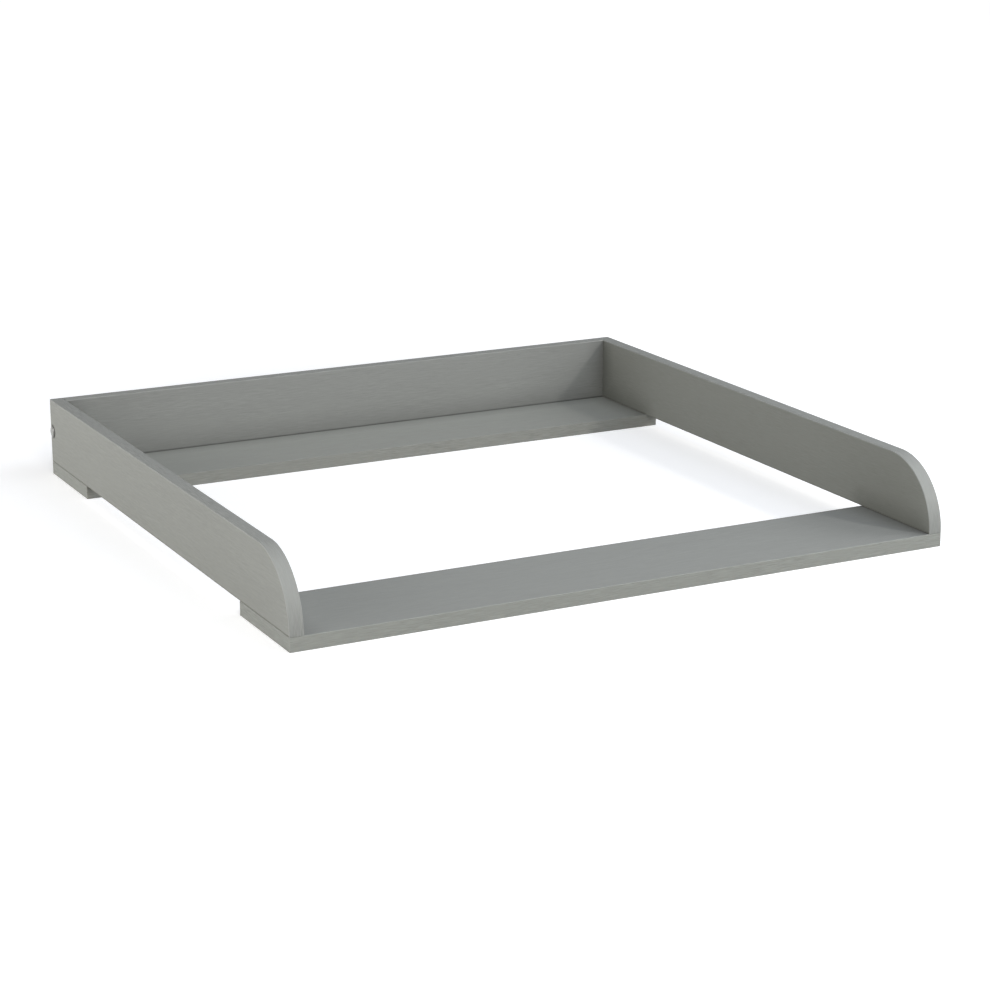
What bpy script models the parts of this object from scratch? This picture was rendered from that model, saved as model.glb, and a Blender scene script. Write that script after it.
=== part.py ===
"""Changing table topper: an open frame of edge-banded board that stands on a chest of drawers.

Two side panels with quarter-round fronts and a back panel stand on a front and a rear bottom board.
Screws and dowels hold them together. Metres, +Z up, front towards -Y. The origin is the middle of the
frame on the plane that it stands on.
"""
import math

import bmesh
import bpy
from mathutils import Matrix, Vector

# Driving dimensions of the frame
OVERALL_WIDTH = 0.800
OVERALL_DEPTH = 0.765
BOARD_THICKNESS = 0.016
PANEL_HEIGHT = 0.080
BOTTOM_BOARD_DEPTH = 0.134

# Edge bands, and the gap that any two pieces keep, as a glue line or as the clearance of a hole
BAND_THICKNESS = 0.001
BAND_EDGE_RADIUS = 0.0004
JOINT_GAP = 0.0003

# Countersunk one-piece connecting screw with a hexagon socket
SCREW_LENGTH = 0.050
SCREW_DIAMETER = 0.007
SCREW_HEAD_DIAMETER = 0.010
SCREW_HEAD_RIM = 0.0006
SCREW_TIP_LENGTH = 0.004
SCREW_TIP_DIAMETER = 0.004
SCREW_RECESS = 0.0005
SOCKET_ACROSS_FLATS = 0.004
SOCKET_DEPTH = 0.003

# Domed cap over a corner screw
CAP_DIAMETER = 0.015
CAP_HEIGHT = 0.0028
CAP_RIM_HEIGHT = 0.0008

# Wooden dowels, and the board that is left under a dowel hole drilled into a face
DOWEL_DIAMETER = 0.008
DOWEL_LENGTH = 0.030
DOWEL_CHAMFER = 0.001
DOWEL_FLOOR = 0.004
CORNER_DOWEL_OFFSET = 0.025

# Places of the screws along the boards, as shares of half the length or depth that they hold
BOARD_SCREW_SHARES = (-0.52, 0.52)
BACK_SCREW_SHARES = {"left": -0.65, "middle": 0.0, "right": 0.65}

# How far a cutter runs past the face that it starts from
CUTTER_OVERRUN = 0.001

# Smoothness of round shapes
ARC_STEPS = 32
TURNED_SIDES = 20
DOME_STEPS = 6
BAND_EDGE_STEPS = 2
SHARP_ANGLE = math.radians(30)
ALIGNED_COSINE = 0.9
WELD_DISTANCE = 0.00001

# Derived sizes and places
HALF_WIDTH = OVERALL_WIDTH / 2
HALF_DEPTH = OVERALL_DEPTH / 2
OVERALL_HEIGHT = BOARD_THICKNESS + PANEL_HEIGHT
PANEL_FOOT = BOARD_THICKNESS + JOINT_GAP
PANEL_RISE = OVERALL_HEIGHT - PANEL_FOOT
FRONT_RADIUS = PANEL_RISE
BAND_INSET = BAND_THICKNESS + JOINT_GAP
SIDE_PANEL_X = HALF_WIDTH - BOARD_THICKNESS / 2
BACK_PANEL_Y = HALF_DEPTH - BOARD_THICKNESS / 2
BACK_PANEL_HALF_LENGTH = HALF_WIDTH - BOARD_THICKNESS - JOINT_GAP
BOTTOM_BOARD_Y = HALF_DEPTH - BOTTOM_BOARD_DEPTH / 2
CORNER_SCREW_Z = BOARD_THICKNESS + PANEL_HEIGHT / 2
DOWEL_SHIFT = DOWEL_LENGTH / 2 - (BOARD_THICKNESS - DOWEL_FLOOR)

# Signs of the two sides along X and of the two ends along Y
SIDES = {"left": -1, "right": 1}
ENDS = {"front": -1, "rear": 1}

# Turns that point a screw's head, which is modelled upwards
QUARTER_TURN = math.radians(90)
HEAD_DOWN = (math.radians(180), 0, 0)
PANEL_UPRIGHT = (QUARTER_TURN, 0, QUARTER_TURN)


def head_to_side(sign):
    """Turn that points a screw's head along +X or -X."""
    return (0, sign * QUARTER_TURN, 0)


def clear_scene():
    for obj in list(bpy.data.objects):
        bpy.data.objects.remove(obj, do_unlink=True)


def new_collection(name):
    collection = bpy.data.collections.new(name)
    bpy.context.scene.collection.children.link(collection)
    return collection


def finish(name, colour, roughness, metallic=0.0):
    material = bpy.data.materials.new(name)
    material.use_nodes = True
    shader = material.node_tree.nodes["Principled BSDF"]
    shader.inputs["Base Color"].default_value = (*colour, 1.0)
    shader.inputs["Roughness"].default_value = roughness
    shader.inputs["Metallic"].default_value = metallic
    return material


# Shapes

def applied_mesh(obj, name):
    """Make a welded mesh of an object with its modifiers, and remove the object."""
    bpy.context.scene.collection.objects.link(obj)
    graph = bpy.context.evaluated_depsgraph_get()
    mesh = bpy.data.meshes.new_from_object(obj.evaluated_get(graph))
    mesh.name = name
    bpy.data.objects.remove(obj, do_unlink=True)
    shape = bmesh.new()
    shape.from_mesh(mesh)
    bmesh.ops.remove_doubles(shape, verts=shape.verts, dist=WELD_DISTANCE)
    shape.to_mesh(mesh)
    shape.free()
    return mesh


def shade_round(mesh):
    mesh.shade_smooth()
    mesh.set_sharp_from_angle(angle=SHARP_ANGLE)


def block_mesh(name, size):
    """Box of the given size, centred on its origin."""
    shape = bmesh.new()
    bmesh.ops.create_cube(shape, size=1.0, matrix=Matrix.Diagonal((*size, 1.0)))
    mesh = bpy.data.meshes.new(name)
    shape.to_mesh(mesh)
    shape.free()
    return mesh


def outline_mesh(name, outline, thickness):
    """Flat closed outline in the local XY plane, filled and thickened evenly along Z."""
    curve = bpy.data.curves.new(name, "CURVE")
    curve.dimensions = "2D"
    curve.fill_mode = "BOTH"
    curve.extrude = thickness / 2
    spline = curve.splines.new("POLY")
    spline.points.add(len(outline) - 1)
    for point, (across, up) in zip(spline.points, outline):
        point.co = (across, up, 0, 1)
    spline.use_cyclic_u = True
    mesh = applied_mesh(bpy.data.objects.new(name, curve), name)
    bpy.data.curves.remove(curve)
    return mesh


def turned_mesh(name, profile):
    """Solid of revolution about Z. The profile runs from the top of the axis to its bottom."""
    lathe = bpy.data.meshes.new(name)
    points = [(radius, 0, height) for radius, height in profile]
    lathe.from_pydata(points, [(i, i + 1) for i in range(len(points) - 1)], [])
    obj = bpy.data.objects.new(name, lathe)
    screw = obj.modifiers.new("turn", "SCREW")
    screw.axis = "Z"
    screw.steps = TURNED_SIDES
    screw.render_steps = TURNED_SIDES
    screw.use_merge_vertices = True
    screw.merge_threshold = WELD_DISTANCE
    mesh = applied_mesh(obj, name)
    bpy.data.meshes.remove(lathe)
    shade_round(mesh)
    return mesh


def arc(centre_x, radius, start, end):
    """Points of an arc about (centre_x, 0) from one angle to another."""
    angles = [start + (end - start) * step / ARC_STEPS for step in range(ARC_STEPS + 1)]
    return [(centre_x + radius * math.cos(angle), radius * math.sin(angle)) for angle in angles]


def soften(mesh, is_outer, is_butt):
    """Round the edges of a band's outer faces, apart from those at an end that butts on a neighbour."""
    shape = bmesh.new()
    shape.from_mesh(mesh)
    shape.normal_update()
    edges = []
    for edge in shape.edges:
        sharp = edge.calc_face_angle() > SHARP_ANGLE
        outer = any(is_outer(face) for face in edge.link_faces)
        butt = any(is_butt(face) for face in edge.link_faces)
        if sharp and outer and not butt:
            edges.append(edge)
    bmesh.ops.bevel(
        shape, geom=edges, offset=BAND_EDGE_RADIUS, segments=BAND_EDGE_STEPS, affect="EDGES",
    )
    shape.to_mesh(mesh)
    shape.free()
    shade_round(mesh)


def straight_band_mesh(name, size, outward, butt_axis=None):
    """Straight edge band. Its ends butt on neighbours along butt_axis, or are open corners."""
    mesh = block_mesh(name, size)
    outward = Vector(outward)
    soften(
        mesh,
        is_outer=lambda face: face.normal.dot(outward) > ALIGNED_COSINE,
        is_butt=lambda face: butt_axis is not None and abs(face.normal[butt_axis]) > ALIGNED_COSINE,
    )
    return mesh


def panel_core_mesh():
    """Side panel without its bands, in a frame with X back from the front and Y up from the foot."""
    radius = FRONT_RADIUS - BAND_INSET
    toe_angle = math.pi - math.asin(BAND_INSET / radius)
    outline = arc(FRONT_RADIUS, radius, toe_angle, math.pi / 2)
    outline.append((OVERALL_DEPTH - BAND_INSET, PANEL_RISE - BAND_INSET))
    outline.append((OVERALL_DEPTH - BAND_INSET, BAND_INSET))
    return outline_mesh("side_panel", outline, BOARD_THICKNESS)


def panel_top_band_mesh():
    """One band from the toe up round the quarter circle and back along the top."""
    outer = arc(FRONT_RADIUS, FRONT_RADIUS, math.pi, math.pi / 2)
    inner = arc(FRONT_RADIUS, FRONT_RADIUS - BAND_THICKNESS, math.pi / 2, math.pi)
    rear = [(OVERALL_DEPTH, PANEL_RISE), (OVERALL_DEPTH, PANEL_RISE - BAND_THICKNESS)]
    mesh = outline_mesh("panel_top_band", outer + rear + inner, BOARD_THICKNESS)

    def is_outer(face):
        middle = face.calc_center_median()
        hub = Vector((max(middle.x, FRONT_RADIUS), 0, 0))
        return face.normal.dot((middle - hub).normalized()) > ALIGNED_COSINE

    soften(mesh, is_outer, is_butt=lambda face: face.normal.y < -ALIGNED_COSINE)
    return mesh


def screw_profile(gap=0.0, overrun=0.0):
    """Countersunk screw with its head's top at zero, or its hole when it has a gap and an overrun."""
    head = SCREW_HEAD_DIAMETER / 2
    shank = SCREW_DIAMETER / 2
    tip = SCREW_TIP_DIAMETER / 2
    cone_end = SCREW_HEAD_RIM + head - shank
    return [
        (0, overrun),
        (head + gap, overrun),
        (head + gap, -SCREW_HEAD_RIM),
        (shank + gap, -cone_end),
        (shank + gap, -(SCREW_LENGTH - SCREW_TIP_LENGTH)),
        (tip + gap, -SCREW_LENGTH - gap),
        (0, -SCREW_LENGTH - gap),
    ]


def screw_mesh(cutters):
    """Screw with a hexagon socket sunk into its head."""
    obj = bpy.data.objects.new("screw", turned_mesh("screw_blank", screw_profile()))
    shape = bmesh.new()
    corner = SOCKET_ACROSS_FLATS / 2 / math.cos(math.pi / 6)
    bmesh.ops.create_cone(
        shape, cap_ends=True, segments=6, radius1=corner, radius2=corner,
        depth=SOCKET_DEPTH + CUTTER_OVERRUN,
        matrix=Matrix.Translation((0, 0, (CUTTER_OVERRUN - SOCKET_DEPTH) / 2)),
    )
    socket = bpy.data.meshes.new("socket_cutter")
    shape.to_mesh(socket)
    shape.free()
    cutter = add_cutter("socket_cutter", socket, cutters, (0, 0, 0), (0, 0, 0))
    cut(obj, [cutter], cutters)
    mesh = applied_mesh(obj, "screw")
    shade_round(mesh)
    return mesh


def dowel_profile(gap=0.0):
    """Dowel with chamfered ends about its middle, or its plain hole when it has a gap."""
    radius = DOWEL_DIAMETER / 2 + gap
    end = DOWEL_LENGTH / 2 + gap
    if gap:
        return [(0, end), (radius, end), (radius, -end), (0, -end)]
    return [
        (0, end),
        (radius - DOWEL_CHAMFER, end),
        (radius, end - DOWEL_CHAMFER),
        (radius, DOWEL_CHAMFER - end),
        (radius - DOWEL_CHAMFER, -end),
        (0, -end),
    ]


def cap_profile():
    """Domed cap above a face at height zero, with a peg that reaches into the screw's socket."""
    radius = CAP_DIAMETER / 2
    rise = CAP_HEIGHT - CAP_RIM_HEIGHT
    dome_radius = (radius**2 + rise**2) / (2 * rise)
    half_angle = math.asin(radius / dome_radius)
    peg = SOCKET_ACROSS_FLATS / 2 - JOINT_GAP
    peg_end = -(SCREW_RECESS + SOCKET_DEPTH - JOINT_GAP)
    profile = []
    for step in range(DOME_STEPS + 1):
        angle = half_angle * step / DOME_STEPS
        profile.append((
            dome_radius * math.sin(angle),
            CAP_HEIGHT - dome_radius * (1 - math.cos(angle)),
        ))
    return profile + [(radius, JOINT_GAP), (peg, JOINT_GAP), (peg, peg_end), (0, peg_end)]


# Objects

def add_part(name, mesh, material, parts, location, rotation=(0, 0, 0)):
    obj = bpy.data.objects.new(name, mesh)
    if not mesh.materials:
        mesh.materials.append(material)
    obj.location = location
    obj.rotation_euler = rotation
    parts.objects.link(obj)
    return obj


def add_cutter(name, mesh, cutters, location, rotation):
    obj = bpy.data.objects.new(name, mesh)
    obj.location = location
    obj.rotation_euler = rotation
    obj.hide_render = True
    obj.display_type = "WIRE"
    cutters.objects.link(obj)
    return obj


def cut(obj, tools, cutters):
    """Cut all the tools out of an object in one step, from a collection of its own."""
    group = bpy.data.collections.new(f"{obj.name}_cuts")
    cutters.children.link(group)
    for tool in tools:
        group.objects.link(tool)
    modifier = obj.modifiers.new("holes", "BOOLEAN")
    modifier.operation = "DIFFERENCE"
    modifier.solver = "EXACT"
    modifier.operand_type = "COLLECTION"
    modifier.collection = group


class Hardware:
    """Screws, dowels and caps, each placed together with the cutter of its hole."""

    def __init__(self, parts, cutters, steel, wood, plastic):
        self.parts = parts
        self.cutters = cutters
        self.steel = steel
        self.wood = wood
        self.plastic = plastic
        self.screw = screw_mesh(cutters)
        self.screw_hole = turned_mesh("screw_hole", screw_profile(JOINT_GAP, CUTTER_OVERRUN))
        self.dowel = turned_mesh("dowel", dowel_profile())
        self.dowel_hole = turned_mesh("dowel_hole", dowel_profile(JOINT_GAP))
        self.cap = turned_mesh("cap", cap_profile())

    def add_screw(self, name, location, rotation):
        add_part(name, self.screw, self.steel, self.parts, location, rotation)
        return add_cutter(f"{name}_hole", self.screw_hole, self.cutters, location, rotation)

    def add_dowel(self, name, location, rotation=(0, 0, 0)):
        add_part(name, self.dowel, self.wood, self.parts, location, rotation)
        return add_cutter(f"{name}_hole", self.dowel_hole, self.cutters, location, rotation)

    def add_cap(self, name, location, rotation):
        add_part(name, self.cap, self.plastic, self.parts, location, rotation)

    def join_corner(self, side):
        """Screw with its cap, and two dowels, through a side panel into the end of the back panel."""
        sign = SIDES[side]
        turn = head_to_side(sign)
        head_x = sign * (HALF_WIDTH - SCREW_RECESS)
        holes = [self.add_screw(f"{side}_corner_screw", (head_x, BACK_PANEL_Y, CORNER_SCREW_Z), turn)]
        self.add_cap(f"{side}_corner_cap", (sign * HALF_WIDTH, BACK_PANEL_Y, CORNER_SCREW_Z), turn)
        dowel_x = sign * (HALF_WIDTH - BOARD_THICKNESS - DOWEL_SHIFT)
        for level, offset in (("lower", -CORNER_DOWEL_OFFSET), ("upper", CORNER_DOWEL_OFFSET)):
            place = (dowel_x, BACK_PANEL_Y, CORNER_SCREW_Z + offset)
            holes.append(self.add_dowel(f"{side}_corner_dowel_{level}", place, turn))
        return holes

    def join_board_end(self, end, side):
        """Two screws from below, and a dowel between them, through a bottom board into a side panel."""
        x = SIDES[side] * SIDE_PANEL_X
        middle_y = ENDS[end] * BOTTOM_BOARD_Y
        holes = []
        for number, share in enumerate(BOARD_SCREW_SHARES, start=1):
            place = (x, middle_y + share * BOTTOM_BOARD_DEPTH / 2, SCREW_RECESS)
            holes.append(self.add_screw(f"{end}_{side}_board_screw_{number}", place, HEAD_DOWN))
        place = (x, middle_y, BOARD_THICKNESS + DOWEL_SHIFT)
        holes.append(self.add_dowel(f"{end}_{side}_board_dowel", place))
        return holes

    def join_back_foot(self):
        """Screws from below through the rear board into the back panel."""
        holes = []
        for spot, share in BACK_SCREW_SHARES.items():
            place = (share * BACK_PANEL_HALF_LENGTH, BACK_PANEL_Y, SCREW_RECESS)
            holes.append(self.add_screw(f"back_panel_screw_{spot}", place, HEAD_DOWN))
        return holes


def add_side_panels(parts, cutters, face, edge, holes):
    """Side panels with their top, rear and bottom bands."""
    core = panel_core_mesh()
    top_band = panel_top_band_mesh()
    rear_size = (BOARD_THICKNESS, BAND_THICKNESS, PANEL_RISE - BAND_INSET)
    rear_band = straight_band_mesh("panel_rear_band", rear_size, (0, 1, 0), butt_axis=2)
    bottom_size = (BOARD_THICKNESS, OVERALL_DEPTH - 2 * BAND_INSET, BAND_THICKNESS)
    bottom_band = straight_band_mesh("panel_bottom_band", bottom_size, (0, 0, -1), butt_axis=1)
    for side, sign in SIDES.items():
        x = sign * SIDE_PANEL_X
        front_foot = (x, -HALF_DEPTH, PANEL_FOOT)
        rear_place = (x, HALF_DEPTH - BAND_THICKNESS / 2, PANEL_FOOT + (PANEL_RISE - BAND_INSET) / 2)
        bottom_place = (x, 0, PANEL_FOOT + BAND_THICKNESS / 2)
        panel = add_part(f"{side}_side_panel", core, face, parts, front_foot, PANEL_UPRIGHT)
        add_part(f"{side}_panel_top_band", top_band, edge, parts, front_foot, PANEL_UPRIGHT)
        add_part(f"{side}_panel_rear_band", rear_band, edge, parts, rear_place)
        bottom = add_part(f"{side}_panel_bottom_band", bottom_band, edge, parts, bottom_place)
        cut(panel, holes[side, "corner"] + holes[side, "front"] + holes[side, "rear"], cutters)
        cut(bottom, holes[side, "front"] + holes[side, "rear"], cutters)


def add_back_panel(parts, cutters, face, edge, holes):
    """Back panel between the side panels, with the band along its top."""
    length = 2 * BACK_PANEL_HALF_LENGTH
    rise = PANEL_RISE - BAND_INSET
    core = block_mesh("back_panel", (length, BOARD_THICKNESS, rise))
    place = (0, BACK_PANEL_Y, PANEL_FOOT + rise / 2)
    panel = add_part("back_panel", core, face, parts, place)
    cut(panel, holes["left", "corner"] + holes["right", "corner"] + holes["back"], cutters)
    band_size = (length, BOARD_THICKNESS, BAND_THICKNESS)
    band = straight_band_mesh("back_panel_top_band", band_size, (0, 0, 1), butt_axis=0)
    band_place = (0, BACK_PANEL_Y, OVERALL_HEIGHT - BAND_THICKNESS / 2)
    add_part("back_panel_top_band", band, edge, parts, band_place)


def add_bottom_boards(parts, cutters, face, edge, holes):
    """Front and rear bottom boards, with bands all round."""
    core_size = (OVERALL_WIDTH - 2 * BAND_INSET, BOTTOM_BOARD_DEPTH - 2 * BAND_INSET, BOARD_THICKNESS)
    long_size = (OVERALL_WIDTH, BAND_THICKNESS, BOARD_THICKNESS)
    end_size = (BAND_THICKNESS, BOTTOM_BOARD_DEPTH - 2 * BAND_INSET, BOARD_THICKNESS)
    core = block_mesh("bottom_board", core_size)
    z = BOARD_THICKNESS / 2
    for end, sign in ENDS.items():
        y = sign * BOTTOM_BOARD_Y
        board = add_part(f"{end}_board", core, face, parts, (0, y, z))
        through_back = holes["back"] if end == "rear" else []
        cut(board, holes["left", end] + holes["right", end] + through_back, cutters)
        for edge_name, out in ENDS.items():
            name = f"{end}_board_{edge_name}_band"
            band = straight_band_mesh(name, long_size, (0, out, 0))
            band_y = y + out * (BOTTOM_BOARD_DEPTH - BAND_THICKNESS) / 2
            add_part(name, band, edge, parts, (0, band_y, z))
        for edge_name, out in SIDES.items():
            name = f"{end}_board_{edge_name}_band"
            band = straight_band_mesh(name, end_size, (out, 0, 0), butt_axis=1)
            band_x = out * (OVERALL_WIDTH - BAND_THICKNESS) / 2
            add_part(name, band, edge, parts, (band_x, y, z))


def build_topper():
    clear_scene()
    parts = new_collection("changing_table_topper")
    cutters = new_collection("cutters")
    face = finish("grey_printed_face", (0.297, 0.311, 0.287), 0.55)
    edge = finish("grey_edge_band", (0.323, 0.337, 0.314), 0.5)
    steel = finish("zinc_plated_steel", (0.62, 0.62, 0.60), 0.35, metallic=1.0)
    wood = finish("beech", (0.55, 0.36, 0.19), 0.6)
    plastic = finish("grey_cap_plastic", (0.30, 0.30, 0.29), 0.35)

    hardware = Hardware(parts, cutters, steel, wood, plastic)
    holes = {"back": hardware.join_back_foot()}
    for side in SIDES:
        holes[side, "corner"] = hardware.join_corner(side)
        for end in ENDS:
            holes[side, end] = hardware.join_board_end(end, side)

    add_side_panels(parts, cutters, face, edge, holes)
    add_back_panel(parts, cutters, face, edge, holes)
    add_bottom_boards(parts, cutters, face, edge, holes)


build_topper()
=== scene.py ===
"""Changing table topper: its looks.

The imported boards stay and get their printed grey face. Edge bands, screws, dowels and caps are
modelled here in finer form and stand for the plain ones.
"""
import math

import bmesh
import bpy
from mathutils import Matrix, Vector


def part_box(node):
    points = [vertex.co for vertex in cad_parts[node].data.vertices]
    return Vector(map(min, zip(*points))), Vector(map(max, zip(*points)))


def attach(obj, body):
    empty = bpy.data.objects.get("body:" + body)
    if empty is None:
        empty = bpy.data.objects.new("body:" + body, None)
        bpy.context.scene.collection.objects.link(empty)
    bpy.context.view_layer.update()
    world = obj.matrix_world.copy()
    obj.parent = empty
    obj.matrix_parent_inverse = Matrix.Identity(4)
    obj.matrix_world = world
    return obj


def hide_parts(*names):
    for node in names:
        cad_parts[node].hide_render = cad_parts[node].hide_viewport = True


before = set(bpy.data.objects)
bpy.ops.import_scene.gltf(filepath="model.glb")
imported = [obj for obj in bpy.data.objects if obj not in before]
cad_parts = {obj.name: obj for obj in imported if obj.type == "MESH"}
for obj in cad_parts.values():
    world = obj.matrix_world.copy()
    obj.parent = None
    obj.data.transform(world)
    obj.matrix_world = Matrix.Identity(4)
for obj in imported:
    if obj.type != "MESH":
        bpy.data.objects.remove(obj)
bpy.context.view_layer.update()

X, Y, Z = range(3)
SIDES = {"left": -1, "right": 1}
ENDS = {"front": -1, "rear": 1}
SIDE_PANELS = ["left_side_panel", "right_side_panel"]
BOTTOM_BOARDS = ["front_board", "rear_board"]
BOARD_THICKNESS = 0.016

QUARTER_TURN = math.radians(90)
UPSIDE_DOWN = (2 * QUARTER_TURN, 0, 0)
SMOOTH_ANGLE = math.radians(40)
SMALL_PIECE_SMOOTH_ANGLE = math.radians(30)
SAME_PLACE = 0.00001
WELD_DISTANCE = 0.000002
ALMOST_PARALLEL = 0.9

# Edge bands: the edging, the glue line that it covers, and its scraped edges
EDGING = 0.001
GLUE_LINE = 0.0003
BAND_THICKNESS = EDGING + GLUE_LINE
SCRAPED_RADIUS = 0.0005
SCRAPE_STEPS = 3
REAR_RIM_RADIUS = SCRAPED_RADIUS / 2
REAR_RIM_STEPS = 2
REAR_RIM_REACH = SCRAPED_RADIUS * 1.2
CURVE_STEPS = 64

# Connecting screw, with its head's top at zero
SCREW_LENGTH = 0.050
SCREW_SIDES = 32
HEAD_RADIUS = 0.005
HEAD_RIM = 0.0006
HEAD_CHAMFER = 0.00015
NECK_RADIUS = 0.0034
NECK_END = -0.0075
NECK_TAPER = 0.0006
CORE_RADIUS = 0.0025
TIP_START = -0.0465
TIP_RADIUS = 0.0012
TIP_CHAMFER = 0.0006
TIP_END_SHARE = 0.6

# The screw's thread, let into its core
THREAD_RADIUS = 0.0035
THREAD_FOOT = 0.0011
THREAD_CREST_SHARE = 0.16
THREAD_LET_IN = 0.0002
THREAD_PITCH = 0.0030
THREAD_TURNS = 12
THREAD_SIDES = 20
THREAD_START = -0.0455
THREAD_END_REACH = 0.001

# The screw's hexagon socket
SOCKET_SIDES = 6
SOCKET_ACROSS_FLATS = 0.004
SOCKET_DEPTH = 0.003
SOCKET_FLARE = 0.0004
SOCKET_FLARE_DEPTH = 0.0002
SOCKET_OVERRUN = 0.0003
DRILL_POINT = 0.0006
DRILL_POINT_SHARE = 0.1

# Wooden dowel. Its chamfer has two steps: how much of it each rises, and how far it draws in
DOWEL_RADIUS = 0.004
DOWEL_LENGTH = 0.030
DOWEL_CHAMFER = 0.001
DOWEL_CHAMFER_SHARES = [(0.6, 0.895), (0.4, 0.87)]
DOWEL_FLUTES = 18
POINTS_PER_FLUTE = 4
FLUTE_DEPTH = 0.00035

# Domed cap, with the face that it lies on at zero
CAP_RADIUS = 0.0075
CAP_HEIGHT = 0.0028
CAP_RIM = 0.0008
CAP_FOOT = 0.0001
CAP_WALL = 0.0010
CAP_DRAFT = 0.0001
CAP_HOLLOW = 0.0004
CAP_SIDES = 48
CAP_RINGS = 9
DOME_EASE = 0.00006
CROWN_SHARE = 1 / 6
RIM_ROUND_WIDTH = 0.0003
RIM_ROUND_HEIGHT = 0.0004
RIM_ROUND_BULGE = 0.00008
PEG_RADIUS = 0.0017
PEG_END = -0.0032
PEG_CHAMFER = 0.0004
PEG_END_SHARE = 0.7

# Wood grain of the print: its length along the grain and its width across
SOFT_STREAKS = (0.30, 0.020)
PATCHES = (0.11, 0.028)
FIBRES = (0.020, 0.0011)
BAND_FIBRES = (0.020, 0.00095)
PORES = (0.008, 0.0006)
STREAK_DISTORTION = 0.3
STREAK_CONTRAST = 0.05
BAND_STREAK_CONTRAST = 0.012
FIBRE_CONTRAST = 0.30
PORE_CONTRAST = 0.045
PORE_DEPTH = 0.6
PORE_ROUGHER = 0.10

# Ranges of noise, and what the range of the patches does to the grain
USUAL_NOISE = (0.3, 0.7)
PATCH_NOISE = (0.35, 0.65)
PATCH_GRAIN = (0.55, 1.25)
PORE_NOISE = (0.60, 0.72)

# Roughness of each finish before its nodes vary it
PLAIN_FOIL_ROUGHNESS = 0.5
PLAIN_BAND_ROUGHNESS = 0.45
PLAIN_ZINC_ROUGHNESS = 0.3
PLAIN_CAP_ROUGHNESS = 0.3
PLAIN_BEECH_ROUGHNESS = 0.7

# Printed faces
FACE_GREY = (0.300, 0.306, 0.283)
FOIL_SHINE = 0.006
FACE_ROUGHNESS = (0.46, 0.54)
SATIN_SCALE = (60, 60, 60)
FACE_RELIEF = 0.00003
FACING_OUT = 0.95

# Raw chipboard
FLAKE_SCALE = 420.0
CHIP_DUST_SCALE = (900, 900, 900)
CHIP_DUST_NOISE = (0.35, 0.75)
CHIP_DUST_SHARE = 0.5
FLAKE_DARK = (0.36, 0.25, 0.14, 1)
FLAKE_PALE = (0.62, 0.49, 0.32, 1)
CHIP_DUST_BROWN = (0.24, 0.16, 0.09, 1)
RAW_ROUGHER = 0.35

# Painted shade where boards meet: a darker band close in, a wide fringe, and a dark line in the seam;
# and a ring of painted shade round a cap
CORNER_SHADE = 0.21
CORNER_SHADE_REACH = 0.032
CORNER_SHADE_FALL_OFF = 1.3
SHADE_FRINGE = 0.09
SHADE_FRINGE_REACH = 0.15
SEAM_SHADE = 0.28
SEAM_WIDTH = 0.0022
SEAM_CORE_SHARE = 0.4
CAP_RING_SHADE = 0.45
RING_START = 0.0005
RING_WIDTH = 0.0022

# Edge band finish. A bent strip is stretched between its toe and its top, and its bend is painted
# paler, a painted highlight
BAND_GREY = (0.302, 0.310, 0.287)
BAND_SHINE = 0.022
BENT_SHINE = 0.030
BAND_ROUGHNESS = (0.62, 0.70)
BAND_RELIEF = 0.00004
STRETCH_AT_TOE = (-0.130, -0.085)
STRETCH_AT_TOP = (-0.045, -0.002)
BEND_PAINTED_HIGHLIGHT = 0.19
STRETCH_GRAIN = 0.35
STRETCH_SMOOTHER = 0.42
# Scraped edges are paler, which also paints a highlight line along them
SCRAPE_AND_HIGHLIGHT_GREY = (0.44, 0.45, 0.43, 1)
SCRAPE_AND_HIGHLIGHT_PALE = 0.3
SCRAPE_AND_HIGHLIGHT_FROM_MIDDLE = (0.0074, 0.0079)
NICK_SCALE = (140, 400, 400)
NICK_DEPTH = 0.0005
GLUE_GREY = (0.16, 0.15, 0.13, 1)
GLUE_DEPTH = (-0.00115, -BAND_THICKNESS)
GLUE_SHARE = 0.35

# Zinc plating
ZINC_DARK = (0.52, 0.53, 0.53, 1)
ZINC_PALE = (0.68, 0.68, 0.66, 1)
ZINC_WORN = (0.34, 0.34, 0.33, 1)
ZINC_ROUGHNESS = (0.24, 0.42)
ZINC_RELIEF = 0.00001
BLOOM_SCALE = (500, 500, 500)
TURNING_SCALE = (200, 200, 9000)
WORN_DEPTH = (-0.0032, -0.0002)
WORN_SHARE = 0.35

# Cap plastic
CAP_SHINE = 0.6
CAP_DARK = (0.27, 0.275, 0.26, 1)
CAP_PALE = (0.31, 0.315, 0.30, 1)
# The cap is painted darker towards its rim: painted shade
CAP_RIM_SHADE = (0.09, 0.09, 0.08, 1)
CAP_RIM_SHADE_FROM = CAP_RADIUS * 0.64
CAP_RIM_SHADE_FULL = CAP_RADIUS * 0.92
CAP_RIM_SHADE_SHARE = 0.9
CAP_ROUGHNESS = (0.18, 0.28)
CAP_RELIEF = 0.000012
MOTTLE_SCALE = (420, 420, 420)
SCRATCH_SCALE = (300, 4200, 300)
SCRATCH_NOISE = (0.3, 0.75)

# Beech
BEECH_DARK = (0.47, 0.30, 0.16, 1)
BEECH_PALE = (0.63, 0.44, 0.25, 1)
BEECH_FLECK = (0.30, 0.16, 0.08, 1)
BEECH_ROUGHNESS = (0.62, 0.78)
BEECH_RELIEF = 0.00005
RING_SCALE = (260, 420, 12)
RING_DISTORTION = 0.3
FLECK_SCALE = (2600, 2600, 420)
FLECK_NOISE = (0.62, 0.72)
FLECK_SHARE = 0.55
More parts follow.
